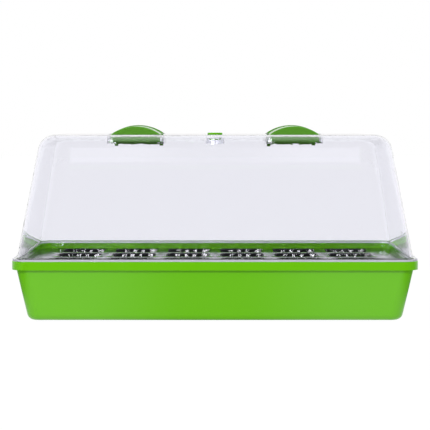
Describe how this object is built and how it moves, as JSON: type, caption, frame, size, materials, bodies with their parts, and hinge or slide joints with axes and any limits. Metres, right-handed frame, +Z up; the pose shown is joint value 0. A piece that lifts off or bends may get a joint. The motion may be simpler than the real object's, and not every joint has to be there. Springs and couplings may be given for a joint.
{
  "type": "humidity dome tray",
  "caption": "Windowsill propagator: green water tray, black seed cell insert and a clear humidity dome with hinged vent hoods and a small watering plug.",
  "frame": {"origin": "centre of the base tray's underside, on the surface it stands on", "axes": "+X along the long side to the right as seen from the front, +Y to the back where the vent hoods are hinged, +Z up"},
  "size_m": [0.384, 0.24, 0.1842],
  "materials": {
    "green_plastic": "smooth satin-gloss injection moulding",
    "black_plastic": "glossy thermoformed sheet",
    "clear_plastic": "clear, faintly violet, polished",
    "pin_plastic": "smooth"
  },
  "bodies": {
    "tray": {"base_tray": "green_plastic"},
    "seed_insert": {"cell_tray": "black_plastic"},
    "lid": {"dome": "clear_plastic", "vent_frame_left": "green_plastic", "vent_frame_right": "green_plastic", "vent_hinge_pin_left": "pin_plastic", "vent_hinge_pin_right": "pin_plastic"},
    "vent_left": {"vent_flap_left": "green_plastic"},
    "vent_right": {"vent_flap_right": "green_plastic"},
    "plug": {"watering_plug": "green_plastic"}
  },
  "joints": [
    {"name": "cell_tray_lift", "type": "slide", "parent": "tray", "child": "seed_insert", "axis": [0, 0, 1], "range_m": [0, 0.065]},
    {"name": "dome_lift", "type": "slide", "parent": "seed_insert", "child": "lid", "axis": [0, 0, 1], "range_m": [0, 0.15]},
    {"name": "vent_left_tilt", "type": "hinge", "parent": "lid", "child": "vent_left", "pos_m": [-0.078, 0.0378, 0.1722], "axis": [-1, 0, 0], "range_deg": [0, 60]},
    {"name": "vent_right_tilt", "type": "hinge", "parent": "lid", "child": "vent_right", "pos_m": [0.078, 0.0378, 0.1722], "axis": [-1, 0, 0], "range_deg": [0, 60]},
    {"name": "plug_pull", "type": "slide", "parent": "lid", "child": "plug", "axis": [0, 0, 1], "range_m": [0, 0.015]}
  ]
}
